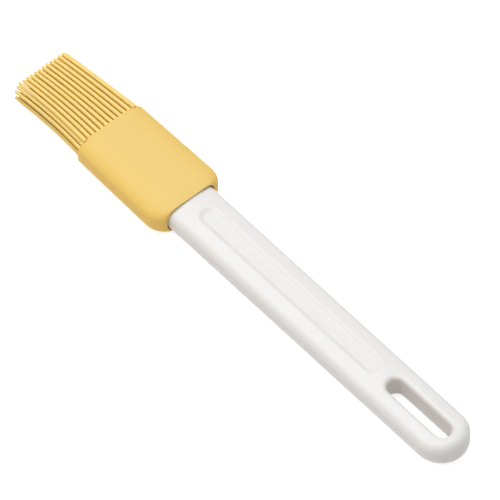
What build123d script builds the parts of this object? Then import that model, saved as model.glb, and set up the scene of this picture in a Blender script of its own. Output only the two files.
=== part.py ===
from build123d import *
import math
import os

# Pastry brush: a moulded plastic handle whose tongue holds a pull-off silicone head.
# Millimetres. +X runs towards the hanging end, the bristles point towards -X, +Z is up.
# The origin is the centre of the footprint, on the surface that the sleeve's underside lies on.

# --- Handle -----------------------------------------------------------------------------
handle_reach = 140.5        # from the sleeve's mouth to the rounded hanging end
handle_width = 20.4
handle_thickness = 10.5     # over the crowned middle
handle_crown = 0.35         # how much the broad faces fall away towards the sides
handle_edge_radius = 4.0    # rounding between the broad faces and the sides
neck_insertion = 4.0        # full-section length that sits inside the sleeve's mouth

# --- Thumb recess in both broad faces ---------------------------------------------------
recess_start = 6.0          # from the mouth to the recess's head end
recess_to_slot = 5.7        # plain surface between the recess and the hanging slot
recess_width = 8.3
recess_depth = 0.6
recess_slope = 1.7          # plan width of the sloping wall round the floor
recess_blend_radius = 1.6   # softens the recess's brink and the foot of its wall

# --- Hanging slot -----------------------------------------------------------------------
slot_end_wall = 6.0         # plastic left between the slot and the handle's end
slot_length = 30.4
slot_width = 6.4
slot_rim_radius = 1.9

# --- Tongue inside the silicone head ----------------------------------------------------
tongue_length = 31.0        # beyond the neck
tongue_width = 15.0
tongue_thickness = 7.0
tongue_corner_radius = 2.2
tongue_lead_in = 1.0        # chamfer on the leading end
grip_rib_count = 3          # on each broad side of the tongue
grip_rib_spacing = 4.6
grip_rib_width = 1.2
grip_rib_height = 0.5
grip_rib_setback = 3.0      # bare tongue at each end of a rib

# --- Silicone sleeve --------------------------------------------------------------------
sleeve_length = 43.3
sleeve_thickness = 13.0
sleeve_rear_width = 30.7
sleeve_front_width = 29.2
sleeve_edge_radius = 4.6    # rounding of the long edges
sleeve_shoulder_length = 6.0    # length over which the sides round in to the mouth
sleeve_rim_length = 2.8     # length over which the broad faces round in to the mouth
sleeve_lip = 0.4            # flat edge left round the mouth
sleeve_front_radius = 0.4
shoulder_steps = 6          # sections through each rounded stretch of the rear end

# --- Bristles ---------------------------------------------------------------------------
bristle_length = 35.0       # free length beyond the sleeve's front face
bristle_root_diameter = 1.55
bristle_tip_diameter = 1.35
bristle_pitch = 2.045       # between neighbours in one row
bristle_rows = 7
bristle_converge = 0.86     # spacing at the tips as a share of the spacing at the roots
row_inset = 0.2             # outer rows' roots to the sleeve's broad faces

# --- Fits -------------------------------------------------------------------------------
mouth_clearance = 0.3       # handle's neck to the sleeve's mouth, all round
pocket_clearance = 0.1      # tongue and grip ribs to the pocket
pocket_end_clearance = 0.5  # tongue's leading end to the pocket's floor
root_clearance = 0.05       # bristle's rounded root to the sleeve's front face
cut_overrun = 1.0           # how far a cut runs past the face it opens
pick_margin = 0.1           # slack when edges are chosen by their place

# --- Places worked out from the sizes above ---------------------------------------------
head_length = sleeve_length + bristle_length
mouth_x = (head_length - handle_reach) / 2
handle_end_x = mouth_x + handle_reach
sleeve_front_x = mouth_x - sleeve_length
neck_end_x = mouth_x - neck_insertion
tongue_end_x = neck_end_x - tongue_length
mid_z = sleeve_thickness / 2

end_radius = handle_width / 2
straight_end_x = handle_end_x - end_radius
slot_start_x = handle_end_x - slot_end_wall - slot_length
slot_x = slot_start_x + slot_length / 2
recess_length = slot_start_x - recess_to_slot - (mouth_x + recess_start)
recess_x = mouth_x + recess_start + recess_length / 2

mouth_width = handle_width + 2 * mouth_clearance
mouth_height = handle_thickness + 2 * mouth_clearance
mouth_radius = handle_edge_radius + mouth_clearance
lip_width = mouth_width + 2 * sleeve_lip
lip_height = mouth_height + 2 * sleeve_lip
lip_radius = mouth_radius + sleeve_lip

root_radius = bristle_root_diameter / 2
tip_radius = bristle_tip_diameter / 2
hinge_x = sleeve_front_x - root_clearance - root_radius
row_spacing = (sleeve_thickness - 2 * row_inset - bristle_root_diameter) / (bristle_rows - 1)

os.makedirs("parts", exist_ok=True)


def section_plane(x):
    """YZ plane at x through the brush's middle; local x runs along +Y, local y along +Z."""
    return Plane(origin=(x, 0, mid_z), x_dir=(0, 1, 0), z_dir=(1, 0, 0))


# --- Handle -----------------------------------------------------------------------------
# The bar is its crowned cross-section run along X, cut to the round-ended plan shape.
with BuildPart() as handle:
    half_thickness = handle_thickness / 2
    side_height = half_thickness - handle_crown
    with BuildSketch(section_plane(neck_end_x)):
        with BuildLine():
            ThreePointArc((-end_radius, side_height), (0, half_thickness), (end_radius, side_height))
            Line((end_radius, side_height), (end_radius, -side_height))
            ThreePointArc((end_radius, -side_height), (0, -half_thickness), (-end_radius, -side_height))
            Line((-end_radius, -side_height), (-end_radius, side_height))
        make_face()
    extrude(amount=handle_end_x - neck_end_x)

    with BuildSketch(Plane.XY.offset(mid_z)):
        with BuildLine():
            Polyline(
                (straight_end_x, -end_radius),
                (neck_end_x, -end_radius),
                (neck_end_x, end_radius),
                (straight_end_x, end_radius),
            )
            ThreePointArc((straight_end_x, end_radius), (handle_end_x, 0), (straight_end_x, -end_radius))
        make_face()
    extrude(amount=handle_thickness, both=True, mode=Mode.INTERSECT)

    # Every edge of the two broad faces is rounded, apart from the cut at the neck.
    broad_faces = handle.faces().sort_by(Axis.Z)
    rim_edges = broad_faces[0].edges() + broad_faces[-1].edges()
    neck_edges = rim_edges.group_by(Axis.X)[0]
    fillet([edge for edge in rim_edges if edge not in neck_edges], handle_edge_radius)

    # Hanging slot, right through, with a soft rim on both faces.
    with BuildSketch(Plane.XY.offset(mid_z)):
        with Locations((slot_x, 0)):
            SlotOverall(slot_length, slot_width)
    extrude(amount=handle_thickness, both=True, mode=Mode.SUBTRACT)
    slot_edges = handle.edges().filter_by(
        lambda edge: abs(edge.center().Y) < slot_width / 2 + pick_margin
        and abs(edge.center().X - slot_x) < slot_length / 2 + pick_margin
        and abs(edge.center().Z - mid_z) > side_height - pick_margin
    )
    fillet(slot_edges, slot_rim_radius)

    # Shallow thumb recess with sloping walls, the same in the top and the underside.
    for face_sign in (1, -1):
        face_z = mid_z + face_sign * half_thickness
        floor_z = face_z - face_sign * recess_depth
        with BuildSketch(Plane.XY.offset(face_z)):
            with Locations((recess_x, 0)):
                SlotOverall(recess_length, recess_width)
        with BuildSketch(Plane.XY.offset(floor_z)):
            with Locations((recess_x, 0)):
                SlotOverall(recess_length - 2 * recess_slope, recess_width - 2 * recess_slope)
        loft(mode=Mode.SUBTRACT)
    recess_edges = handle.edges().filter_by(
        lambda edge: abs(edge.center().Y) < recess_width / 2 + pick_margin
        and abs(edge.center().X - recess_x) < recess_length / 2 + pick_margin
        and abs(edge.center().Z - mid_z) > side_height - recess_depth
    )
    fillet(recess_edges.filter_by(Axis.Z, reverse=True), recess_blend_radius)

    # Tongue that fills the sleeve's pocket, with low ribs along it that grip the silicone.
    with BuildSketch(section_plane(neck_end_x)):
        RectangleRounded(tongue_width, tongue_thickness, tongue_corner_radius)
    extrude(amount=-tongue_length)
    chamfer(handle.faces().sort_by(Axis.X)[0].edges(), tongue_lead_in)
    rib_length = tongue_length - 2 * grip_rib_setback
    with Locations((neck_end_x - tongue_length / 2, 0, mid_z)):
        with GridLocations(0, grip_rib_spacing, 1, grip_rib_count):
            Box(rib_length, grip_rib_width, tongue_thickness + 2 * grip_rib_height)

handle.part.label = "handle"
export_step(handle.part, "parts/handle.step")


# --- Silicone sleeve --------------------------------------------------------------------
def sleeve_width_at(distance):
    """Width of the straight-tapered body, a distance ahead of the mouth."""
    return sleeve_rear_width - (sleeve_rear_width - sleeve_front_width) * distance / sleeve_length


def quarter_round(distance, length):
    """Share of a quarter-round's rise, a distance along its length from its low end."""
    if distance >= length:
        return 1.0
    return math.sqrt(1 - (1 - distance / length) ** 2)


def shoulder_section(distance):
    """Cross-section of the rounded rear end: it grows from the lip round the mouth to the body."""
    width_share = quarter_round(distance, sleeve_shoulder_length)
    height_share = quarter_round(distance, sleeve_rim_length)
    width = lip_width + (sleeve_width_at(distance) - lip_width) * width_share
    height = lip_height + (sleeve_thickness - lip_height) * height_share
    radius = lip_radius + (sleeve_edge_radius - lip_radius) * height_share
    with BuildSketch(section_plane(mouth_x - distance)) as section:
        RectangleRounded(width, height, radius)
    return section.sketch


with BuildPart() as silicone_sleeve:
    # Straight-tapered body with flat broad faces and rounded long edges.
    shoulder_x = mouth_x - sleeve_shoulder_length
    front_half = sleeve_front_width / 2
    shoulder_half = sleeve_width_at(sleeve_shoulder_length) / 2
    with BuildSketch(Plane.XY):
        with BuildLine():
            Polyline(
                (sleeve_front_x, -front_half),
                (shoulder_x, -shoulder_half),
                (shoulder_x, shoulder_half),
                (sleeve_front_x, front_half),
                close=True,
            )
        make_face()
    extrude(amount=sleeve_thickness)
    end_faces = silicone_sleeve.faces().sort_by(Axis.X)
    end_edges = end_faces[0].edges() + end_faces[-1].edges()
    fillet([edge for edge in silicone_sleeve.edges() if edge not in end_edges], sleeve_edge_radius)
    fillet(silicone_sleeve.faces().sort_by(Axis.X)[0].edges(), sleeve_front_radius)

    # Rounded rear end: first the stretch where only the width draws in, then the rim.
    rim_angle = math.asin(1 - sleeve_rim_length / sleeve_shoulder_length)
    add(silicone_sleeve.faces().sort_by(Axis.X)[-1])
    for step in range(1, shoulder_steps + 1):
        angle = rim_angle * step / shoulder_steps
        add(shoulder_section(sleeve_shoulder_length * (1 - math.sin(angle))))
    loft()
    for step in range(shoulder_steps + 1):
        angle = math.pi / 2 * step / shoulder_steps
        add(shoulder_section(sleeve_rim_length * (1 - math.sin(angle))))
    loft()

    # Mouth round the handle's neck: the neck's own section with the clearance all round.
    mouth_floor_x = neck_end_x - mouth_clearance
    with BuildSketch(section_plane(mouth_floor_x)):
        RectangleRounded(mouth_width, mouth_height, mouth_radius)
    extrude(amount=mouth_x - mouth_floor_x + cut_overrun, mode=Mode.SUBTRACT)

    # Pocket for the tongue and its ribs.
    pocket_floor_x = tongue_end_x - pocket_end_clearance
    with BuildSketch(section_plane(pocket_floor_x)):
        RectangleRounded(
            tongue_width + 2 * pocket_clearance,
            tongue_thickness + 2 * pocket_clearance,
            tongue_corner_radius + pocket_clearance,
        )
        with GridLocations(grip_rib_spacing, 0, grip_rib_count, 1):
            Rectangle(
                grip_rib_width + 2 * pocket_clearance,
                tongue_thickness + 2 * (grip_rib_height + pocket_clearance),
            )
    extrude(amount=mouth_floor_x - pocket_floor_x, mode=Mode.SUBTRACT)

silicone_sleeve.part.label = "silicone_sleeve"
export_step(silicone_sleeve.part, "parts/silicone_sleeve.step")


# --- Bristles ---------------------------------------------------------------------------
# One bristle standing on the local Z axis: a rounded root centred on the local origin,
# a long taper and a rounded tip.
shaft_length = bristle_length - root_clearance - root_radius - tip_radius
with BuildPart() as bristle:
    with BuildSketch(Plane.XZ):
        with BuildLine():
            CenterArc((0, 0), root_radius, -90, 90)
            Line((root_radius, 0), (tip_radius, shaft_length))
            CenterArc((0, shaft_length), tip_radius, 0, 90)
            Line((0, shaft_length + tip_radius), (0, -root_radius))
        make_face()
    revolve(axis=Axis.Z)


def row_places(row_z, stagger):
    """Bristle positions along Y that keep a row inside the sleeve's rounded front face."""
    flat_half_width = sleeve_front_width / 2 - sleeve_edge_radius
    arc_radius = sleeve_edge_radius - root_radius
    above_arc_centre = max(0.0, abs(row_z) - (sleeve_thickness / 2 - sleeve_edge_radius))
    half_reach = flat_half_width + math.sqrt(max(0.0, arc_radius**2 - above_arc_centre**2))
    outermost = math.floor((half_reach + root_clearance) / bristle_pitch - stagger)
    first = -outermost if stagger == 0 else -outermost - 1
    return [(step + stagger) * bristle_pitch for step in range(first, outermost + 1)]


for row in range(bristle_rows):
    row_z = (bristle_rows - 1 - 2 * row) / 2 * row_spacing
    stagger = ((row + 1) % 2) / 2
    stands = []
    for row_y in row_places(row_z, stagger):
        drift = (bristle_converge - 1) / bristle_length
        direction = (-1, row_y * drift, row_z * drift)
        stands.append(Plane(origin=(hinge_x, row_y, mid_z + row_z), z_dir=direction))
    with BuildPart() as bristle_row:
        with Locations(*[Location(stand) for stand in stands]):
            add(bristle.part)
    name = f"bristle_row_{row + 1}"
    bristle_row.part.label = name
    export_step(bristle_row.part, f"parts/{name}.step")
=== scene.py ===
# %% [markdown]
# # A silicone pastry brush, built piece by piece
#
# The brush has two moulded parts. A white plastic handle carries a shallow thumb recess
# and a long hanging slot, and a yellow silicone head with 91 round bristles is
# pushed over a tongue at the handle's end. The head pulls off for washing, and its
# bristles bend.
#
# The imported part comes first. It fixes where everything is: every piece below is built in
# the same frame, in metres, and the handle, its ribs and the head ride on its bodies. Sizes
# are written here in millimetres, as on a drawing, and one factor turns them into metres.

# %% The imported part and its sizes
import bpy
import bmesh
import math
from mathutils import Matrix, Vector
from mathutils.geometry import delaunay_2d_cdt


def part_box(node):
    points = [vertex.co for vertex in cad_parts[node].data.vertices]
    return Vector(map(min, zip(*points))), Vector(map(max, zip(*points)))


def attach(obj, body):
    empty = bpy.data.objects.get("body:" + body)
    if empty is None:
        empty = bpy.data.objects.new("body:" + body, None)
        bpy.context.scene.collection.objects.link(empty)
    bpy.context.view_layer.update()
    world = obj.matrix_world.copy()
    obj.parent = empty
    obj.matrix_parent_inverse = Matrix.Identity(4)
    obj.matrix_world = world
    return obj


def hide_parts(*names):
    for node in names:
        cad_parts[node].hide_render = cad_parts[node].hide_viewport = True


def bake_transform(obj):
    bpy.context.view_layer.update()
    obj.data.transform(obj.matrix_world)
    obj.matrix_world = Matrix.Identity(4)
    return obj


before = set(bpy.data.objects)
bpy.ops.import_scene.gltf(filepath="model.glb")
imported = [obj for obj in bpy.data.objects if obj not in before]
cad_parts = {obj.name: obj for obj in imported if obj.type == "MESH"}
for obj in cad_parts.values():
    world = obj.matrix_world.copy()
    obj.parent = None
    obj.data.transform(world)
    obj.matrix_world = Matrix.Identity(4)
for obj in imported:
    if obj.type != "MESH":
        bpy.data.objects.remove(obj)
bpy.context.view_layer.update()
MM = 0.001


def in_millimetres(box):
    """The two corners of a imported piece's box."""
    return [Vector(corner) / MM for corner in box]


_, handle_high = in_millimetres(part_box("handle"))
sleeve_low, sleeve_high = in_millimetres(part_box("silicone_sleeve"))
SLEEVE_FRONT = sleeve_low.x
MOUTH = sleeve_high.x
HANDLE_END = handle_high.x
MID_Z = (sleeve_low.z + sleeve_high.z) / 2
print(f"the sleeve runs from x {SLEEVE_FRONT:.2f} to {MOUTH:.2f} mm")
print(f"the handle ends at x {HANDLE_END:.2f} mm")

# %% [markdown]
# ## Camera
#
# The brush is seen from well above and to one side, from so far away that its edges stay
# almost parallel. A long lens a few metres back gives that view. The aim is worked out
# from one point on the handle's middle plane and the place where it shows in the frame,
# so the camera needs no trial and error and no shift.

# %% Camera
IMAGE_SIZE = 500
PIXELS_PER_MM = 2.89
VIEW_AZIMUTH = math.radians(48.64)
VIEW_ELEVATION = math.radians(53.22)
VIEW_DISTANCE = 5100
SEEN_POINT = Vector((38.5, 0, MID_Z))
SEEN_AT = (323.76, 328.39)


def linked(name, data):
    """A new object in the scene with this data."""
    thing = bpy.data.objects.new(name, data)
    bpy.context.scene.collection.objects.link(thing)
    return thing


back = Vector((
    math.sin(VIEW_AZIMUTH) * math.cos(VIEW_ELEVATION),
    -math.cos(VIEW_AZIMUTH) * math.cos(VIEW_ELEVATION),
    math.sin(VIEW_ELEVATION),
))
right = Vector((math.cos(VIEW_AZIMUTH), math.sin(VIEW_AZIMUTH), 0))
upward = back.cross(right)
aim = (
    SEEN_POINT
    - right * (SEEN_AT[0] - IMAGE_SIZE / 2) / PIXELS_PER_MM
    + upward * (SEEN_AT[1] - IMAGE_SIZE / 2) / PIXELS_PER_MM
)

camera_data = bpy.data.cameras.new("camera")
camera_data.lens = camera_data.sensor_width * VIEW_DISTANCE * PIXELS_PER_MM / IMAGE_SIZE
camera = linked("camera", camera_data)
turn = Matrix((right, upward, back)).transposed().to_4x4()
camera.matrix_world = Matrix.Translation((aim + back * VIEW_DISTANCE) * MM) @ turn
bpy.context.scene.camera = camera
print(f"camera: {camera_data.lens:.0f} mm lens, {VIEW_DISTANCE / 1000:.1f} m away")

# %% [markdown]
# ## Turning sections into skin
#
# Both moulded parts are skins over smooth sections. They could be boxes with bevels, but
# a bevel can't follow a face that is itself slightly crowned, and it leaves long thin
# faces that shade badly. So each skin is collected ring by ring: every ring has the same
# number of points as the next, neighbours are joined with four-sided faces, and what is
# left flat is filled with triangles between the rings' edges. Rings sit close together
# only where the surface turns.

# %% Even steps, and what lies inside an outline
def spread(low, high, steps):
    """steps + 1 evenly spaced numbers from low to high."""
    return [low + (high - low) * i / steps for i in range(steps + 1)]


def lies_inside(point, shape):
    """Whether a flat point lies inside a closed outline.

    A line from such a point crosses an odd number of edges.
    """
    crossings = 0
    for start, end in zip(shape, shape[1:] + shape[:1]):
        if (start.y > point.y) != (end.y > point.y):
            share = (point.y - start.y) / (end.y - start.y)
            crossings += start.x + share * (end.x - start.x) > point.x
    return crossings % 2 == 1


square = [Vector(corner) for corner in ((0, 0), (1, 0), (1, 1), (0, 1))]
print("spread:", spread(0, 1, 4), "inside:", lies_inside(Vector((0.5, 0.5)), square))

# %% A skin collected ring by ring
SHARP_ANGLE = math.radians(30)
MERGE_DISTANCE = 1e-7
FLAT_TOLERANCE = 1e-9


class Skin:
    """Points, in millimetres, and faces of one piece."""

    def __init__(self):
        self.points = []
        self.faces = []

    def ring(self, points):
        first = len(self.points)
        self.points.extend(Vector(point) for point in points)
        return list(range(first, len(self.points)))

    def bridge(self, ring_a, ring_b, closed=True):
        """Joins two rings with four-sided faces."""
        count = len(ring_a)
        for i in range(count if closed else count - 1):
            j = (i + 1) % count
            self.faces.append((ring_a[i], ring_a[j], ring_b[j], ring_b[i]))

    def bridge_all(self, rings, closed=True):
        for ring_a, ring_b in zip(rings, rings[1:]):
            self.bridge(ring_a, ring_b, closed)

    def fill(self, outline, holes=(), loose=(), across=(0, 1)):
        """Fills an outline with triangles, round its holes and through its loose points.

        The triangles are found in the plane of the two axes that across names.
        """
        used = [*outline, *(index for hole in holes for index in hole), *loose]
        flat = [Vector([self.points[index][axis] for axis in across]) for index in used]
        edges = []
        shapes = []
        first = 0
        for loop in (outline, *holes):
            count = len(loop)
            edges += [(first + i, first + (i + 1) % count) for i in range(count)]
            shapes.append(flat[first:first + count])
            first += count
        _, _, triangles, sources, _, _ = delaunay_2d_cdt(
            flat, edges, [], 0, FLAT_TOLERANCE, True
        )
        for triangle in triangles:
            corners = [sources[corner][0] for corner in triangle]
            middle = sum((flat[corner] for corner in corners), Vector((0, 0))) / 3
            if not any(lies_inside(middle, shape) for shape in shapes[1:]):
                self.faces.append(tuple(used[corner] for corner in corners))

    def mirror_down(self):
        """Adds the same skin upside down, below z = 0."""
        count = len(self.points)
        self.points += [Vector((p.x, p.y, -p.z)) for p in self.points]
        self.faces += [tuple(count + i for i in reversed(face)) for face in self.faces]

    def to_object(self, name):
        """A closed mesh object with outward faces, smooth but for its sharp edges."""
        mesh = bpy.data.meshes.new(name)
        lifted = [(point + Vector((0, 0, MID_Z))) * MM for point in self.points]
        mesh.from_pydata(lifted, [], self.faces)
        shell = bmesh.new()
        shell.from_mesh(mesh)
        bmesh.ops.remove_doubles(shell, verts=shell.verts, dist=MERGE_DISTANCE)
        bmesh.ops.dissolve_degenerate(shell, edges=shell.edges, dist=MERGE_DISTANCE / 10)
        bmesh.ops.recalc_face_normals(shell, faces=shell.faces)
        open_edges = sum(1 for edge in shell.edges if len(edge.link_faces) != 2)
        shell.to_mesh(mesh)
        shell.free()
        mesh.shade_smooth()
        mesh.set_sharp_from_angle(angle=SHARP_ANGLE)
        print(f"{name}: {len(mesh.polygons)} faces, {open_edges} open edges")
        return linked(name, mesh)


print(f"edges sharper than {math.degrees(SHARP_ANGLE):.0f} degrees stay sharp")

# %% [markdown]
# ## Handle
#
# The real handle is injection-moulded polypropylene: a flat bar 20.7 mm wide and 10.5 mm
# thick whose broad faces are crowned by 1.3 mm, with a round end and large soft edges. A
# mould for it closes at mid-height, and the seam shows as a hair-thin line round the
# side. The lower half mirrors the upper one, so only the upper half is built.
#
# Its edge is a ball rolled along the outline, touching both the crowned face and the
# upright side. For each point of the outline the ball's centre is known exactly, and so
# are the two directions in which it touches. Directions swept from one to the other give
# the rings. The hanging slot's rim is the same ball on the inside.

# %% The handle's outline and its crowned face
HALF_WIDTH = 10.35
HALF_THICKNESS = 5.25
CROWN = 1.3
NECK_DEPTH = 4.0
NECK_X = MOUTH - NECK_DEPTH
ROUND_CENTRE = HANDLE_END - HALF_WIDTH
BAR_SIDE_STEPS = 40
BAR_END_STEPS = 56
STADIUM_END_STEPS = 20
CROWN_RADIUS = (HALF_WIDTH**2 + CROWN**2) / (2 * CROWN)
CROWN_CENTRE = HALF_THICKNESS - CROWN_RADIUS


def crown_height(y):
    """Height of the crowned face above the middle plane."""
    return CROWN_CENTRE + math.sqrt(CROWN_RADIUS**2 - y**2)


def rolled_edge(centre_x, centre_y, side, radius, steps):
    """Points of a ball's edge from the crowned face to the upright side that it touches."""
    centre_z = CROWN_CENTRE + math.sqrt((CROWN_RADIUS - radius) ** 2 - centre_y**2)
    centre = Vector((centre_x, centre_y, centre_z))
    face = Vector((0, centre_y, centre_z - CROWN_CENTRE)).normalized()
    return [centre + radius * face.slerp(side, share) for share in spread(0, 1, steps)]


def bar_outline(inset):
    """Plan points (x, y, outward direction) round the bar, from one side of the neck on."""
    reach = HALF_WIDTH - inset
    stations = spread(NECK_X, ROUND_CENTRE, BAR_SIDE_STEPS)
    outline = [(x, -reach, Vector((0, -1, 0))) for x in stations[:-1]]
    for angle in spread(-math.pi / 2, math.pi / 2, BAR_END_STEPS):
        out = Vector((math.cos(angle), math.sin(angle), 0))
        outline.append((ROUND_CENTRE + reach * out.x, reach * out.y, out))
    outline += [(x, reach, Vector((0, 1, 0))) for x in reversed(stations[:-1])]
    return outline


def stadium(centre_x, half_length, radius, side_steps):
    """Plan points (x, y, outward direction) round a slot-shaped outline."""
    straight = half_length - radius
    outline = []
    for end in (1, -1):
        for angle in spread(-math.pi / 2, math.pi / 2, STADIUM_END_STEPS):
            out = Vector((end * math.cos(angle), end * math.sin(angle), 0))
            outline.append((centre_x + end * straight + radius * out.x, radius * out.y, out))
        for share in spread(1, -1, side_steps)[1:-1]:
            outline.append((centre_x + end * straight * share, end * radius, Vector((0, end, 0))))
    return outline


print(f"the broad faces are part of a cylinder of {CROWN_RADIUS:.1f} mm radius")

# %% [markdown]
# The thumb recess is a slot shape with a sloping wall and a flat floor 1 mm down. A
# boolean cut would leave hard, unevenly divided edges. Here the recess is a height
# instead: the lower of the crowned face and the sloping wall, blended where they meet.
# Rings that follow the recess's own outline carry it.

# %% The thumb recess as a height
RECESS_CENTRE = 21.1
RECESS_HALF_LENGTH = 46.2
RECESS_HALF_WIDTH = 4.15
RECESS_DEPTH = 1.0
RECESS_SLOPE = 1.7
RECESS_BLEND = 0.2


def smooth_lower(a, b, blend):
    """The lower of two heights, rounded where they cross."""
    overlap = max(blend - abs(a - b), 0) / blend
    return min(a, b) - overlap**2 * blend / 4


def recess_height(y, inward):
    """Height of the face at a distance inside the recess's outline."""
    wall = HALF_THICKNESS - RECESS_DEPTH * inward / RECESS_SLOPE
    floor = HALF_THICKNESS - RECESS_DEPTH
    wall = -smooth_lower(-wall, -floor, RECESS_BLEND)
    return smooth_lower(crown_height(y), wall, RECESS_BLEND)


print(f"the recess is {2 * RECESS_HALF_LENGTH:.1f} x {2 * RECESS_HALF_WIDTH:.1f} mm")

# %% The rolled edge and the seam
EDGE_RADIUS = 3.5
EDGE_STEPS = 12
SEAM_HEIGHT = 0.07
SEAM_HALF_WIDTH = 0.2

upper = Skin()
edge_columns = [
    rolled_edge(x, y, out, EDGE_RADIUS, EDGE_STEPS) for x, y, out in bar_outline(EDGE_RADIUS)
]
edge_rings = [upper.ring(points) for points in zip(*edge_columns)]
seam = ((SEAM_HALF_WIDTH, 0), (SEAM_HALF_WIDTH / 2, SEAM_HEIGHT), (0, SEAM_HEIGHT))
for height, stand_off in seam:
    edge_rings.append(upper.ring(
        (x + stand_off * out.x, y + stand_off * out.y, height) for x, y, out in bar_outline(0)
    ))
upper.bridge_all(edge_rings, closed=False)
print(f"the edge has {len(edge_rings)} rings, {len(seam)} of them for the seam")

# %% The slot's rim and its wall, which draws in towards mid-height as a mould needs
SLOT_CENTRE = 88.2
SLOT_HALF_LENGTH = 15.15
SLOT_HALF_WIDTH = 3.05
SLOT_DRAFT = math.radians(3)
SLOT_RIM_RADIUS = 1.75
SLOT_RIM_STEPS = 8
SLOT_SIDE_STEPS = 14

rim_reach = (
    (HALF_THICKNESS - SLOT_RIM_RADIUS) * math.tan(SLOT_DRAFT)
    + SLOT_RIM_RADIUS * math.cos(SLOT_DRAFT)
)


def slot_outline(outset):
    """Plan points of the slot, a distance outside its waist at mid-height."""
    half_length = SLOT_HALF_LENGTH + outset
    return stadium(SLOT_CENTRE, half_length, SLOT_HALF_WIDTH + outset, SLOT_SIDE_STEPS)


slot_columns = []
for x, y, out in slot_outline(rim_reach):
    wall = Vector((0, 0, math.sin(SLOT_DRAFT))) - out * math.cos(SLOT_DRAFT)
    slot_columns.append(rolled_edge(x, y, wall, SLOT_RIM_RADIUS, SLOT_RIM_STEPS))
slot_rings = [upper.ring(points) for points in zip(*slot_columns)]
slot_rings.append(upper.ring((x, y, 0) for x, y, _ in slot_outline(0)))
upper.bridge_all(slot_rings)
print(f"the slot has {len(slot_rings)} rings of {len(slot_columns)} points")

# %% The recess's sloping wall and its floor
RECESS_SIDE_STEPS = 46
RECESS_RINGS = (-0.9, -0.6, -0.35, -0.1, 0.15, 0.4, 0.65, 0.9, 1.15, 1.4, 1.65, 1.9, 2.2, 2.6)

recess_rings = []
for inward in RECESS_RINGS:
    half_length = RECESS_HALF_LENGTH - inward
    outline = stadium(RECESS_CENTRE, half_length, RECESS_HALF_WIDTH - inward, RECESS_SIDE_STEPS)
    recess_rings.append(upper.ring((x, y, recess_height(y, inward)) for x, y, _ in outline))
upper.bridge_all(recess_rings)
upper.fill(recess_rings[-1])
print(f"the recess has {len(recess_rings)} rings of {len(recess_rings[0])} points")

# %% [markdown]
# What is left of the broad face lies between three outlines: the rolled edge, the
# recess's outermost ring and the slot's rim. A sheet of triangles joins them, with loose
# points in between so that it follows the crown.

# %% The broad face between edge, recess and slot
LOOSE_SPACING = 1.9
LOOSE_CLEARANCE = 0.9
LOOSE_ROWS = 10
NECK_STEPS = 12


def stadium_distance(x, y, centre_x, half_length, radius):
    """Distance of a plan point from a slot-shaped outline, negative inside."""
    along = max(abs(x - centre_x) - (half_length - radius), 0)
    return math.hypot(along, y) - radius


def is_loose(x, y):
    """Whether a point has room on the broad face, clear of every outline."""
    edge = math.hypot(max(x - ROUND_CENTRE, 0), y) - (HALF_WIDTH - EDGE_RADIUS)
    recess = stadium_distance(x, y, RECESS_CENTRE, RECESS_HALF_LENGTH, RECESS_HALF_WIDTH)
    slot = stadium_distance(x, y, SLOT_CENTRE, SLOT_HALF_LENGTH, SLOT_HALF_WIDTH)
    return (
        edge < -LOOSE_CLEARANCE
        and recess > LOOSE_CLEARANCE - RECESS_RINGS[0]
        and slot > LOOSE_CLEARANCE + rim_reach
    )


first_y = upper.points[edge_rings[0][0]].y
neck_line = upper.ring(
    (NECK_X, y, crown_height(y)) for y in spread(-first_y, first_y, NECK_STEPS)[1:-1]
)
columns = int((HANDLE_END - NECK_X) / LOOSE_SPACING)
loose_points = upper.ring(
    (x, y, crown_height(y))
    for x in spread(NECK_X + LOOSE_SPACING, HANDLE_END, columns)
    for y in spread(-HALF_WIDTH, HALF_WIDTH, LOOSE_ROWS)
    if is_loose(x, y)
)
upper.fill(edge_rings[0] + neck_line, (recess_rings[0], slot_rings[0]), loose_points)
print(f"{len(loose_points)} loose points on the broad face")

# %% [markdown]
# A tongue runs on from the neck into the silicone head, 15 mm wide and 7 mm thick,
# with a chamfered leading end. It is out of sight until the head is pulled off.

# %% The tongue, and the finished handle
TONGUE_LENGTH = 31.0
TONGUE_END = NECK_X - TONGUE_LENGTH
TONGUE_HALF_WIDTH = 7.5
TONGUE_HALF_THICKNESS = 3.5
TONGUE_CORNER = 2.2
TONGUE_LEAD_IN = 1.0
TONGUE_CORNER_STEPS = 8


def half_section(x, inset):
    """The tongue's section above the middle plane, from its +Y side to its -Y side."""
    radius = TONGUE_CORNER - inset
    corner_y = TONGUE_HALF_WIDTH - TONGUE_CORNER
    corner_z = TONGUE_HALF_THICKNESS - TONGUE_CORNER
    section = [(x, TONGUE_HALF_WIDTH - inset, 0)]
    for side, first in ((1, 0), (-1, math.pi / 2)):
        for angle in spread(first, first + math.pi / 2, TONGUE_CORNER_STEPS):
            y = side * corner_y + radius * math.cos(angle)
            section.append((x, y, corner_z + radius * math.sin(angle)))
    section.append((x, inset - TONGUE_HALF_WIDTH, 0))
    return section


tongue_rings = [
    upper.ring(half_section(x, inset))
    for x, inset in ((NECK_X, 0), (TONGUE_END + TONGUE_LEAD_IN, 0), (TONGUE_END, TONGUE_LEAD_IN))
]
upper.bridge_all(tongue_rings, closed=False)
upper.faces.append(tuple(tongue_rings[-1]))
section_up = [ring[-1] for ring in reversed(edge_rings)]
section_down = [ring[0] for ring in edge_rings]
upper.faces.append(tuple(section_up + neck_line + section_down + tongue_rings[0][::-1]))

upper.mirror_down()
handle = upper.to_object("white_handle")

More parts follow.
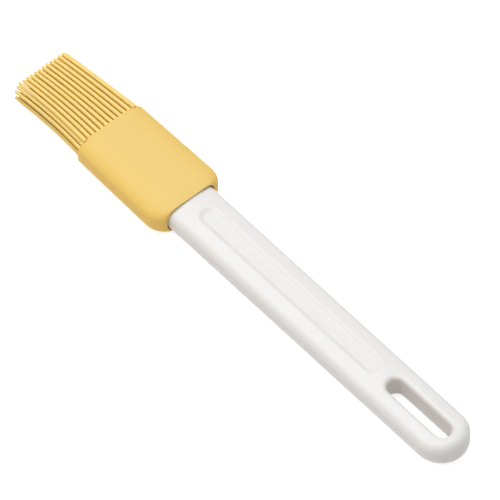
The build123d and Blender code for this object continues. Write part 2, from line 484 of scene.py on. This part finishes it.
# %% [markdown]
# ## Silicone sleeve
#
# The head's body is a soft block moulded round nothing: its outside is a flat, rounded
# bar that draws in at the rear to a lip round the handle, and its inside is a pocket the
# shape of the tongue. A subdivided box would need many supporting loops to keep its
# broad faces flat. Sections do it directly: each is a rounded rectangle with the same
# number of points, and width, height and corners grow along a quarter-round from the lip
# to the body. The corners reach twice as far across the width as down the side. The same
# skin then turns in through the mouth and lines the pocket, so the wall is one closed
# shell.

# %% Rounded rectangles
LEAST_RADIUS = 0.01
CORNER_SIDES = ((1, 1), (-1, 1), (-1, -1), (1, -1))
CORNER_STEPS = 10
SIDE_STEPS = (8, 3, 8, 3)


def rounded_rectangle(x, width, height, radius, stretch=1.0, inset=0.0):
    """Points round a section across X, corner by corner, with corners stretched along Y."""
    radius = max(radius - inset, LEAST_RADIUS)
    reach = radius * stretch
    corner_y = width / 2 - inset - reach
    corner_z = height / 2 - inset - radius

    def corner_point(corner, angle):
        side_y, side_z = CORNER_SIDES[corner % 4]
        y = side_y * corner_y + reach * math.cos(angle)
        return Vector((x, y, side_z * corner_z + radius * math.sin(angle)))

    section = []
    for corner, side_steps in enumerate(SIDE_STEPS):
        last = (corner + 1) * math.pi / 2
        for angle in spread(corner * math.pi / 2, last, CORNER_STEPS):
            section.append(corner_point(corner, angle))
        start, end = section[-1], corner_point(corner + 1, last)
        section += [start.lerp(end, share) for share in spread(0, 1, side_steps)[1:-1]]
    return section


print(f"every outer section has {4 * CORNER_STEPS + sum(SIDE_STEPS)} points")

# %% The sleeve's size along its length
SLEEVE_LENGTH = MOUTH - SLEEVE_FRONT
SLEEVE_THICKNESS = 13.0
REAR_WIDTH = 31.2
FRONT_WIDTH = 29.7
LONG_EDGE_RADIUS = 4.6
EDGE_STRETCH = 2.0
SHOULDER_LENGTH = 7.0
RIM_LENGTH = 2.8
RIM_CREASE = 0.7
LIP_SIZE = (22.0, 11.9, 4.7)


def quarter_round(distance, length):
    """Share of a quarter-round's rise, a distance along its length."""
    return math.sqrt(1 - (1 - min(distance / length, 1)) ** 2)


def sleeve_size(distance):
    """(width, height, corner radius, stretch) of the sleeve, a distance ahead of its mouth."""
    body = REAR_WIDTH - (REAR_WIDTH - FRONT_WIDTH) * distance / SLEEVE_LENGTH
    wide = quarter_round(distance, SHOULDER_LENGTH)
    high = quarter_round(distance, RIM_LENGTH)
    high += RIM_CREASE * (min(distance / RIM_LENGTH, 1) - high)
    return (
        LIP_SIZE[0] + (body - LIP_SIZE[0]) * wide,
        LIP_SIZE[1] + (SLEEVE_THICKNESS - LIP_SIZE[1]) * high,
        LIP_SIZE[2] + (LONG_EDGE_RADIUS - LIP_SIZE[2]) * high,
        1 + (EDGE_STRETCH - 1) * high,
    )


shoulder_width = sleeve_size(SHOULDER_LENGTH)[0]
print(f"the sleeve is {FRONT_WIDTH} mm wide in front and {shoulder_width:.1f} mm at the shoulder")

# %% The pocket's section
POCKET_HALF_WIDTH = 7.6
POCKET_HALF_HEIGHT = 3.6
POCKET_CORNER = 2.3
POCKET_STEPS = 6
CHANNEL_HALF_HEIGHT = 4.1
CHANNEL_HALF_WIDTH = 0.7
RIB_SPACING = 4.6


def pocket_section(x):
    """Section of the pocket, with a channel for each grip rib of the tongue.

    The outer channels begin where the corners end, so the corners' last points are left out.
    """
    corner_y = POCKET_HALF_WIDTH - POCKET_CORNER
    corner_z = POCKET_HALF_HEIGHT - POCKET_CORNER
    corner = [
        (corner_y + POCKET_CORNER * math.cos(angle), corner_z + POCKET_CORNER * math.sin(angle))
        for angle in spread(0, math.pi / 2, POCKET_STEPS)[:-1]
    ]
    channels = []
    for rib_y in (RIB_SPACING, 0, -RIB_SPACING):
        for side in (1, -1):
            for height in (POCKET_HALF_HEIGHT, CHANNEL_HALF_HEIGHT)[::side]:
                channels.append((rib_y + side * CHANNEL_HALF_WIDTH, height))
    upper_half = corner + channels + [(-y, z) for y, z in reversed(corner)]
    return [Vector((x, side * y, side * z)) for side in (1, -1) for y, z in upper_half]


print(f"the pocket is {2 * POCKET_HALF_WIDTH} mm wide and {2 * POCKET_HALF_HEIGHT} mm high")

# %% The sleeve's skin
MOUTH_SIZE = (21.6, 11.6, 4.5)
NECK_CLEARANCE = 0.3
MOUTH_FLOOR = NECK_X - NECK_CLEARANCE
TONGUE_CLEARANCE = 0.5
POCKET_FLOOR = TONGUE_END - TONGUE_CLEARANCE
FRONT_RADIUS = 0.4
LIP_ROUNDING = 0.15
FRONT_STEPS = 5
BODY_STEPS = 16
SHOULDER_STEPS = 5
RIM_STEPS = 18
LIP_STEPS = 4


def rear_section(distance):
    """The sleeve's outer section, a distance ahead of its mouth."""
    return rounded_rectangle(MOUTH - distance, *sleeve_size(distance))


front_size = sleeve_size(SLEEVE_LENGTH)
sections = [rounded_rectangle(SLEEVE_FRONT, *front_size, inset=2 * FRONT_RADIUS)]
for angle in spread(0, math.pi / 2, FRONT_STEPS):
    inset = FRONT_RADIUS * (1 - math.sin(angle))
    x = SLEEVE_FRONT + FRONT_RADIUS * (1 - math.cos(angle))
    sections.append(rounded_rectangle(x, *front_size, inset=inset))
for distance in spread(SLEEVE_LENGTH - FRONT_RADIUS, SHOULDER_LENGTH, BODY_STEPS)[1:-1]:
    sections.append(rear_section(distance))
rim_angle = math.asin(1 - RIM_LENGTH / SHOULDER_LENGTH)
for angle in spread(0, rim_angle, SHOULDER_STEPS)[:-1]:
    sections.append(rear_section(SHOULDER_LENGTH * (1 - math.sin(angle))))
for angle in spread(0, math.pi / 2, RIM_STEPS):
    sections.append(rear_section(RIM_LENGTH * (1 - math.sin(angle))))
for angle in spread(0, math.pi / 2, LIP_STEPS):
    outset = LIP_ROUNDING * (1 - math.sin(angle))
    x = MOUTH - LIP_ROUNDING * (1 - math.cos(angle))
    sections.append(rounded_rectangle(x, *MOUTH_SIZE, inset=-outset))
sections.append(rounded_rectangle(MOUTH_FLOOR, *MOUTH_SIZE))

sleeve_skin = Skin()
sleeve_rings = [sleeve_skin.ring(section) for section in sections]
sleeve_skin.bridge_all(sleeve_rings)
sleeve_skin.faces.append(tuple(sleeve_rings[0]))

pocket_rings = [sleeve_skin.ring(pocket_section(x)) for x in (MOUTH_FLOOR, POCKET_FLOOR)]
sleeve_skin.bridge_all(pocket_rings)
sleeve_skin.fill(sleeve_rings[-1], (pocket_rings[0],), across=(1, 2))
sleeve_skin.faces.append(tuple(pocket_rings[1]))
sleeve = sleeve_skin.to_object("silicone_body")

# %% [markdown]
# ## Node trees from plain expressions
#
# The bristles, the grip ribs and every finish below are node trees. Placing nodes one by
# one hides what they work out, so one small class wraps a socket: adding or multiplying
# two of them puts the Math node in. Any other node comes from one method that takes the
# node's kind, its settings and what goes into its sockets.

# %% Sockets that can be added and multiplied
class Value:
    """A socket, with Python's operators on it."""

    def __init__(self, graph, socket):
        self.graph = graph
        self.socket = socket

    def math(self, operation, *others):
        operands = dict(enumerate((self, *others)))
        return self.graph.add("ShaderNodeMath", {"operation": operation}, operands)[0]

    def __add__(self, other):
        return self.math("ADD", other)

    def __sub__(self, other):
        return self.math("SUBTRACT", other)

    def __rsub__(self, other):
        return self.math("MULTIPLY_ADD", -1, other)

    def __mul__(self, other):
        return self.math("MULTIPLY", other)

    def __truediv__(self, other):
        return self.math("DIVIDE", other)

    def clamp(self):
        """The value, kept from 0 to 1."""
        return self.math("MAXIMUM", 0).math("MINIMUM", 1)

    __radd__ = __add__
    __rmul__ = __mul__


print("a value knows + - * /, clamp and every other operation of a Math node")

# %% Every other node, from one method
class Outputs:
    """A node's outputs, by name or number."""

    def __init__(self, graph, node):
        self.graph = graph
        self.node = node

    def __getitem__(self, key):
        return Value(self.graph, self.node.outputs[key])


class Graph:
    """A node tree that is being built."""

    def __init__(self, tree):
        self.tree = tree
        tree.nodes.clear()

    def add(self, kind, settings=None, inputs=None):
        """A node's outputs. Its settings go in before the values and links of its sockets."""
        node = self.tree.nodes.new(kind)
        for name, setting in (settings or {}).items():
            if name == "captured":
                node.capture_items.new(*setting)
            else:
                setattr(node, name, setting)
        for key, value in (inputs or {}).items():
            if isinstance(value, Value):
                self.tree.links.new(value.socket, node.inputs[key])
            else:
                node.inputs[key].default_value = value
        return Outputs(self, node)


print("node helpers ready")

# %% [markdown]
# ## What the two materials are
#
# The handle is polypropylene, opaque white with a faint warm tone, moulded satin: light
# goes a millimetre or two in, and the surface has a fine even grain that softens
# reflections. The head is food-grade silicone, matte and slightly see-through, so a little
# light goes in and comes out again. Upright faces of both are painted a warmer colour than
# the broad faces, which is painted shade: the silicone's sides a deeper orange, the
# handle's sides a warmer grey. Both are clean, and vary only a little: the plastic in gloss
# where it has been handled, the silicone in tone.

# %% Noise, tones and relief
MIX_FIRST, MIX_SECOND = 6, 7  # A Mix node's two colour sockets


def new_material(name):
    material = bpy.data.materials.new(name)
    material.use_nodes = True
    return material, Graph(material.node_tree)


def noise(graph, place, scale, detail=2.0, roughness=0.5):
    """Soft noise from 0 to 1, scale features to the metre."""
    inputs = {"Vector": place, "Scale": scale, "Detail": detail, "Roughness": roughness}
    return graph.add("ShaderNodeTexNoise", {}, inputs)["Fac"]


def two_tones(graph, amount, first, second):
    """A colour between two, by an amount from 0 to 1. The first may be a socket."""
    first_colour = first if isinstance(first, Value) else (*first, 1)
    inputs = {"Factor": amount, MIX_FIRST: first_colour, MIX_SECOND: (*second, 1)}
    return graph.add("ShaderNodeMix", {"data_type": "RGBA"}, inputs)["Result"]


def bump(graph, inputs):
    """The normal of a surface with fine relief."""
    return graph.add("ShaderNodeBump", {}, inputs)["Normal"]


def steepness(graph, normal):
    """0 on a level face, 1 on an upright one."""
    height = graph.add("ShaderNodeSeparateXYZ", {}, {0: normal})["Z"]
    return (1 - height * height).math("SQRT")


print("finishes can use noise, two_tones, bump and steepness")

# %% Satin white plastic
def make_plastic():
    material, graph = new_material("satin_white_plastic")
    lookup = graph.add("ShaderNodeTexCoord")
    place = lookup["Object"]
    cloud = noise(graph, place, scale=45)
    grain = noise(graph, place, scale=5200, detail=1.0)
    handling = noise(graph, place, scale=260, detail=3.0, roughness=0.6)
    swell = noise(graph, place, scale=90)
    uneven = bump(graph, {"Strength": 0.5, "Distance": 0.01 * MM, "Height": swell})
    relief = bump(graph, {
        "Strength": 0.35, "Distance": 0.006 * MM, "Height": grain, "Normal": uneven,
    })
    tone = two_tones(graph, cloud, (0.875, 0.872, 0.855), (0.895, 0.893, 0.882))
    # Upright faces are painted a warmer grey than the top, which is painted shade.
    side_shade_mask = steepness(graph, lookup["Normal"])
    surface = graph.add("ShaderNodeBsdfPrincipled", {}, {
        "Base Color": two_tones(graph, side_shade_mask, tone, (0.89, 0.85, 0.82)),
        "Roughness": 0.34 + 0.06 * cloud + 0.06 * handling,
        "IOR": 1.49,
        "Subsurface Weight": 0.35,
        "Subsurface Radius": (1.0, 0.95, 0.85),
        "Subsurface Scale": 2.0 * MM,
        "Normal": relief,
    })["BSDF"]
    graph.add("ShaderNodeOutputMaterial", {}, {"Surface": surface})
    return material


plastic = make_plastic()
handle.data.materials.append(plastic)
print(f"{plastic.name}: {len(plastic.node_tree.nodes)} nodes")

# %% Matte yellow silicone
def make_silicone(name, dark, light, painted_side_shade, glow):
    """Matte silicone, with a share (glow) of light that goes in and comes out again."""
    material, graph = new_material(name)
    lookup = graph.add("ShaderNodeTexCoord")
    place = lookup["Object"]
    cloud = noise(graph, place, scale=70, detail=3.0)
    speckle = noise(graph, place, scale=2600)
    relief = bump(graph, {"Strength": 0.4, "Distance": 0.012 * MM, "Height": speckle})
    tone = two_tones(graph, 0.7 * cloud + 0.3 * speckle, dark, light)
    # Upright faces are painted in the side colour, a deeper orange, which is painted shade.
    side_shade_mask = steepness(graph, lookup["Normal"])
    surface = graph.add("ShaderNodeBsdfPrincipled", {}, {
        "Base Color": two_tones(graph, side_shade_mask, tone, painted_side_shade),
        "Roughness": 0.5 + 0.12 * speckle,
        "IOR": 1.41,
        "Subsurface Weight": glow,
        "Subsurface Radius": (1.0, 0.35, 0.1),
        "Subsurface Scale": 1.2 * MM,
        "Normal": relief,
    })["BSDF"]
    graph.add("ShaderNodeOutputMaterial", {}, {"Surface": surface})
    return material


silicone = make_silicone(
    "matte_yellow_silicone",
    dark=(0.90, 0.64, 0.203), light=(0.92, 0.67, 0.22), painted_side_shade=(0.99, 0.64, 0.145), glow=0.1,
)
# The bristles are the same silicone as the body. Their copy is painted lighter and yellower,
# which is painted light.
bristle_silicone = make_silicone(
    "bristle_silicone",
    dark=(1.0, 0.78, 0.28), light=(1.0, 0.81, 0.31), painted_side_shade=(1.0, 0.7, 0.19), glow=0.0,
)
sleeve.data.materials.append(silicone)
print(f"{silicone.name}, {bristle_silicone.name}: {len(silicone.node_tree.nodes)} nodes each")

# %% [markdown]
# ## Bristles
#
# Each bristle is a silicone rod 35 mm long that thins from 1.55 to 1.35 mm and ends in
# a round tip. Rows of 12 to 14 stand staggered, seven deep. In the mould they are
# straight and draw together a little towards the tips. After it each leans and bows its
# own way by a tenth or two of a millimetre, the middle of the tuft is pinched a little,
# and with use all tips have come to lean 1.75 mm to one side. An array modifier would
# copy one bristle exactly, which looks like a comb. Geometry Nodes place one rod on a
# line of points, turn each copy by a seeded random amount, and bow it after it has
# become real mesh.

# %% What every tree begins and ends with
def new_tree(name, inputs):
    """A Geometry Nodes tree with named inputs, and the values that they bring."""
    tree = bpy.data.node_groups.new(name, "GeometryNodeTree")
    for label, kind in inputs:
        tree.interface.new_socket(label, in_out="INPUT", socket_type="NodeSocket" + kind)
    tree.interface.new_socket("Geometry", in_out="OUTPUT", socket_type="NodeSocketGeometry")
    graph = Graph(tree)
    given = graph.add("NodeGroupInput")
    return tree, graph, given


def geometry(graph, kind, inputs):
    """What a node makes of some geometry."""
    return graph.add(kind, {}, inputs)[0]


def end_tree(graph, mesh, material):
    """Set Material, which every tree ends in once its instances are real mesh."""
    painted = geometry(graph, "GeometryNodeSetMaterial", {"Geometry": mesh, "Material": material})
    graph.add("NodeGroupOutput", {}, {"Geometry": painted})


def vector(graph, x, y, z):
    return graph.add("ShaderNodeCombineXYZ", {}, {"X": x, "Y": y, "Z": z})["Vector"]


def line_along_y(graph, count, start, step):
    """Points in a line along Y."""
    inputs = {"Count": count, "Start Location": start, "Offset": vector(graph, 0, step, 0)}
    return graph.add("GeometryNodeMeshLine", {"mode": "OFFSET"}, inputs)["Mesh"]


print("trees begin with new_tree and finish with end_tree")

# %% One bristle
ROD_SIDES = 12
ROD_POINTS = 16
TIP_POINTS = 5
FLARE_SHARE = 0.3
ROD_MERGE_DISTANCE = 1e-6


def rod(graph, given):
    """One bristle along Z: rings close together at the root, a taper, and a round tip."""
    line = geometry(graph, "GeometryNodeCurvePrimitiveLine", {"End": (0, 0, 1)})
    line = geometry(graph, "GeometryNodeResampleCurve", {"Curve": line, "Count": ROD_POINTS})
    along = graph.add("GeometryNodeInputIndex")["Index"] / (ROD_POINTS - 1)
    shaft_share = 1 - (TIP_POINTS - 1) / (ROD_POINTS - 1)
    shaft = (along / shaft_share).clamp()
    tip_angle = ((along - shaft_share) / (1 - shaft_share)).clamp() * (math.pi / 2)
    tip_rise = tip_angle.math("SINE")
    tip_width = tip_angle.math("COSINE")
    tip_radius = given["Tip Radius"]
    shaft_length = given["Length"] - tip_radius + given["Embed"]
    height = shaft * shaft * shaft_length + tip_rise * tip_radius - given["Embed"]
    taper = given["Root Radius"] + (tip_radius - given["Root Radius"]) * shaft * shaft
    flare = (1 - height / given["Root Flare"]).clamp()
    radius = (taper + flare * flare * given["Root Flare"] * FLARE_SHARE) * tip_width
    line = geometry(graph, "GeometryNodeSetPosition", {
        "Geometry": line, "Position": vector(graph, 0, 0, height),
    })
    circle = geometry(graph, "GeometryNodeCurvePrimitiveCircle", {
        "Resolution": ROD_SIDES, "Radius": 1.0,
    })
    tube = geometry(graph, "GeometryNodeCurveToMesh", {
        "Curve": line, "Profile Curve": circle, "Scale": radius, "Fill Caps": True,
    })
    return geometry(graph, "GeometryNodeMergeByDistance", {
        "Geometry": tube, "Distance": ROD_MERGE_DISTANCE,
    })


print(f"a bristle has {ROD_POINTS} rings of {ROD_SIDES} points, {TIP_POINTS} of them at its tip")

# %% Vectors in a tree
def random_vector(graph, seed):
    inputs = {"Min": (-1, -1, -1), "Max": (1, 1, 1), "Seed": seed}
    return graph.add("FunctionNodeRandomValue", {"data_type": "FLOAT_VECTOR"}, inputs)["Value"]


def vector_math(graph, operation, *operands):
    inputs = dict(enumerate(operands))
    return graph.add("ShaderNodeVectorMath", {"operation": operation}, inputs)["Vector"]


def scaled(graph, direction, amount):
    inputs = {0: direction, "Scale": amount}
    return graph.add("ShaderNodeVectorMath", {"operation": "SCALE"}, inputs)["Vector"]


print("directions can be random, added, multiplied and scaled")

# %% The row tree: points, turned rods, then a bow
ROW_INPUTS = (
    ("Count", "Int"), ("First Point", "Vector"), ("Pitch", "Float"),
    ("Draw Together", "Vector"), ("Length", "Float"), ("Embed", "Float"),
    ("Root Radius", "Float"), ("Tip Radius", "Float"), ("Root Flare", "Float"),
    ("Lean", "Float"), ("Bow", "Float"), ("Pinch", "Float"), ("Tip Shift", "Vector"),
    ("Seed", "Int"), ("Material", "Material"),
)
LEAN_SEED_STEP = 50


def build_row_tree():
    tree, graph, given = new_tree("bristle_row", ROW_INPUTS)
    stands = line_along_y(graph, given["Count"], given["First Point"], given["Pitch"])
    held = graph.add(
        "GeometryNodeCaptureAttribute",
        {"captured": ("VECTOR", "Own Way")},
        {"Geometry": stands, "Own Way": random_vector(graph, given["Seed"])},
    )
    stand = graph.add("GeometryNodeInputPosition")["Position"]
    inwards = vector_math(graph, "MULTIPLY", stand, given["Draw Together"])
    straight = vector_math(graph, "ADD", inwards, (-1, 0, 0))
    lean = scaled(graph, random_vector(graph, given["Seed"] + LEAN_SEED_STEP), given["Lean"])
    facing = {"Vector": vector_math(graph, "ADD", straight, lean)}
    turned = graph.add("FunctionNodeAlignRotationToVector", {"axis": "Z"}, facing)["Rotation"]
    copies = geometry(graph, "GeometryNodeInstanceOnPoints", {
        "Points": held["Geometry"], "Instance": rod(graph, given), "Rotation": turned,
    })
    mesh = geometry(graph, "GeometryNodeRealizeInstances", {"Geometry": copies})

    place = graph.add("GeometryNodeInputPosition")["Position"]
    ahead = vector_math(graph, "SUBTRACT", given["First Point"], place)
    share = (graph.add("ShaderNodeSeparateXYZ", {}, {0: ahead})["X"] / given["Length"]).clamp()
    own_way = vector_math(graph, "MULTIPLY", held["Own Way"], (0, 1, 1))
    bow = scaled(graph, own_way, share * share * given["Bow"])
    sideways = graph.add("ShaderNodeSeparateXYZ", {}, {0: place})["Y"]
    pinch = vector(graph, 0, sideways * share * (share - 1) * given["Pinch"], 0)
    shift = scaled(graph, given["Tip Shift"], share * share)
    offset = vector_math(graph, "ADD", vector_math(graph, "ADD", bow, pinch), shift)
    moved = geometry(graph, "GeometryNodeSetPosition", {"Geometry": mesh, "Offset": offset})
    smooth = geometry(graph, "GeometryNodeSetShadeSmooth", {"Geometry": moved})
    end_tree(graph, smooth, given["Material"])
    return tree


row_tree = build_row_tree()
print(f"the row tree has {len(row_tree.nodes)} nodes and {len(ROW_INPUTS)} inputs")

# %% [markdown]
# A tree does nothing until a modifier on some object gives it values. The values go in by
# each input's identifier. The object is evaluated once, its result is kept as a plain
# mesh, and the object that carried the modifier is removed again.

# %% From a tree to a plain mesh
def grown_mesh(name, tree, values):
    """A mesh object with what the tree makes of these values."""
    carrier = linked(name + "_carrier", bpy.data.meshes.new(name + "_carrier"))
    modifier = carrier.modifiers.new(name, "NODES")
    modifier.node_group = tree
    for item in tree.interface.items_tree:
        if item.in_out == "INPUT" and item.name in values:
            modifier[item.identifier] = values[item.name]
    carrier.update_tag()
    evaluated = carrier.evaluated_get(bpy.context.evaluated_depsgraph_get())
    mesh = bpy.data.meshes.new_from_object(evaluated)
    bpy.data.objects.remove(carrier)
    mesh.name = name
    print(f"{name}: {len(mesh.vertices)} points, {len(mesh.polygons)} faces")
    return linked(name, mesh)

# %% Seven rows of bristles
BRISTLE_ROWS = 7
BRISTLE_LENGTH = 35.0
BRISTLE_PITCH = 2.045
ROW_STACK_HEIGHT = 11.05
ROW_SPACING = ROW_STACK_HEIGHT / (BRISTLE_ROWS - 1)
ROOT_RADIUS = 0.775
ROOT_FLARE = 0.3
ROOT_DEPTH = 0.3
TIP_RADIUS = 0.675
TIP_SHARE = 0.9
TIP_SHIFT = -1.75
NEST_SHIFT = 0.35
LEAN = 0.004
BOW = 0.15
PINCH = 0.1
FIRST_SEED = 11


def row_height(row):
    """Height of a row's middle line at its roots."""
    return MID_Z + (BRISTLE_ROWS - 1 - 2 * row) / 2 * ROW_SPACING


# At the tips the tuft is TIP_SHARE of its width at the roots. The tree multiplies a
# root's place by a factor for each axis, and heights have to count from mid-height.
narrowing = (1 - TIP_SHARE) / BRISTLE_LENGTH / MM
bristle_rows = []
for row in range(BRISTLE_ROWS):
    row_low, row_high = in_millimetres(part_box(f"bristle_row_{row + 1}"))
    count = round((row_high.y - row_low.y - 2 * ROOT_RADIUS) / BRISTLE_PITCH) + 1
    # Every row under the top one stands a little off, so that no gap runs straight through.
    first_y = row_low.y + ROOT_RADIUS + (NEST_SHIFT if row else 0)
    row_z = row_height(row)
    bristle_rows.append(grown_mesh(f"bristles_{row + 1}", row_tree, {
        "Count": count,
        "First Point": (SLEEVE_FRONT * MM, first_y * MM, row_z * MM),
        "Pitch": BRISTLE_PITCH * MM,
        "Draw Together": (0.0, -narrowing, -narrowing * (row_z - MID_Z) / row_z),
        "Length": BRISTLE_LENGTH * MM,
        "Embed": ROOT_DEPTH * MM,
        "Root Radius": ROOT_RADIUS * MM,
        "Tip Radius": TIP_RADIUS * MM,
        "Root Flare": ROOT_FLARE * MM,
        "Lean": LEAN,
        "Bow": BOW * MM,
        "Pinch": PINCH,
        "Tip Shift": (0.0, TIP_SHIFT * MM, 0.0),
        "Seed": FIRST_SEED + row,
        "Material": bristle_silicone,
    }))
print("bristles in all:", sum(len(piece.data.vertices) for piece in bristle_rows), "points")

# %% [markdown]
# ## Grip ribs
#
# Three low ribs along each side of the tongue hold the silicone by friction. A bar that
# is higher than the tongue is thick shows as a rib on both sides, so a second, shorter
# tree places one such bar on three points.

# %% Grip ribs on the tongue
RIB_INPUTS = (
    ("Count", "Int"), ("First Point", "Vector"), ("Spacing", "Float"),
    ("Size", "Vector"), ("Material", "Material"),
)
RIB_COUNT = 3
RIB_LENGTH = 25.0
RIB_WIDTH = 1.2
RIB_HEIGHT = 8.0


def build_rib_tree():
    tree, graph, given = new_tree("grip_ribs", RIB_INPUTS)
    stands = line_along_y(graph, given["Count"], given["First Point"], given["Spacing"])
    bar = geometry(graph, "GeometryNodeMeshCube", {"Size": given["Size"]})
    copies = geometry(graph, "GeometryNodeInstanceOnPoints", {"Points": stands, "Instance": bar})
    mesh = geometry(graph, "GeometryNodeRealizeInstances", {"Geometry": copies})
    end_tree(graph, mesh, given["Material"])
    return tree


ribs = grown_mesh("grip_ribs", build_rib_tree(), {
    "Count": RIB_COUNT,
    "First Point": ((NECK_X + TONGUE_END) / 2 * MM, -RIB_SPACING * MM, MID_Z * MM),
    "Spacing": RIB_SPACING * MM,
    "Size": (RIB_LENGTH * MM, RIB_WIDTH * MM, RIB_HEIGHT * MM),
    "Material": plastic,
})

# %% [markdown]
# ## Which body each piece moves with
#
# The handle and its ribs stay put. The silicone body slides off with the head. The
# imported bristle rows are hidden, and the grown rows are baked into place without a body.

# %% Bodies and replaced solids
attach(handle, "handle")
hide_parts("handle")
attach(ribs, "handle")
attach(sleeve, "head")
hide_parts("silicone_sleeve")
for row, piece in enumerate(bristle_rows):
    body = f"bristle_row_{row + 1}"
    root = (SLEEVE_FRONT * MM, 0, row_height(row) * MM)
    tip = ((SLEEVE_FRONT - BRISTLE_LENGTH) * MM, 0, row_height(row) * MM)
    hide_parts(body)
    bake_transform(piece)

# %% [markdown]
# ## Floor, background and light
#
# The brush lies on a white table under one large soft lamp overhead. The lamp leans a
# little towards the viewer's side and towards the bristles, so that the handle's far end
# turns away from it. A pale sky around keeps the upright sides from going dark. The table
# would look grey under light that suits a white handle, so it also glows for camera,
# mirror and glass rays. It still darkens where the brush keeps the light off it.

# %% Floor and sky
FLOOR_HALF_SIZE = 400
FLOOR_CORNERS = ((-1, -1), (1, -1), (1, 1), (-1, 1))
FLOOR_GLOW = 0.7
SKY_STRENGTH = 0.335
WHITE = (1, 1, 1, 1)
PALE = (0.8, 0.8, 0.8, 1)


def seen_directly(graph):
    """1 for rays from the camera, a mirror or glass, 0 for light that bounces softly."""
    path = graph.add("ShaderNodeLightPath")
    total = path["Is Camera Ray"] + path["Is Glossy Ray"] + path["Is Transmission Ray"]
    return total.clamp()


floor_mesh = bpy.data.meshes.new("floor")
corners = [(x * FLOOR_HALF_SIZE * MM, y * FLOOR_HALF_SIZE * MM, 0) for x, y in FLOOR_CORNERS]
floor_mesh.from_pydata(corners, [], [(0, 1, 2, 3)])
floor = linked("floor", floor_mesh)
white_table, graph = new_material("white_table")
matte = graph.add("ShaderNodeBsdfDiffuse", {}, {"Color": PALE})["BSDF"]
strength = seen_directly(graph) * FLOOR_GLOW
glow = graph.add("ShaderNodeEmission", {}, {"Color": WHITE, "Strength": strength})["Emission"]
both = graph.add("ShaderNodeAddShader", {}, {0: matte, 1: glow})["Shader"]
graph.add("ShaderNodeOutputMaterial", {}, {"Surface": both})
floor.data.materials.append(white_table)

sky = bpy.data.worlds.new("sky")
sky.use_nodes = True
bpy.context.scene.world = sky
graph = Graph(sky.node_tree)
strength = SKY_STRENGTH + seen_directly(graph) * (1 - SKY_STRENGTH)
background = graph.add("ShaderNodeBackground", {}, {"Color": WHITE, "Strength": strength})
graph.add("ShaderNodeOutputWorld", {}, {"Surface": background["Background"]})
print(f"floor {2 * FLOOR_HALF_SIZE} mm square, sky at {SKY_STRENGTH}")

# %% Lamp
LAMP_DISTANCE = 1200
LAMP_SIZE = 1100
LAMP_POWER = 11.15
LAMP_LEAN = 0.3
LAMP_LEAN_AHEAD = 0.35

lamp_data = bpy.data.lights.new("soft_lamp", "AREA")
lamp_data.shape = "SQUARE"
lamp_data.size = LAMP_SIZE * MM
lamp_data.energy = LAMP_POWER
lamp = linked("soft_lamp", lamp_data)
towards = (Vector((-LAMP_LEAN_AHEAD, 0, 1)) + LAMP_LEAN * back).normalized()
facing = towards.to_track_quat("Z", "Y").to_matrix().to_4x4()
lamp.matrix_world = Matrix.Translation(towards * LAMP_DISTANCE * MM) @ facing
bpy.context.scene.view_settings.view_transform = "Standard"
print(f"lamp of {LAMP_POWER} W, {LAMP_SIZE} mm square")
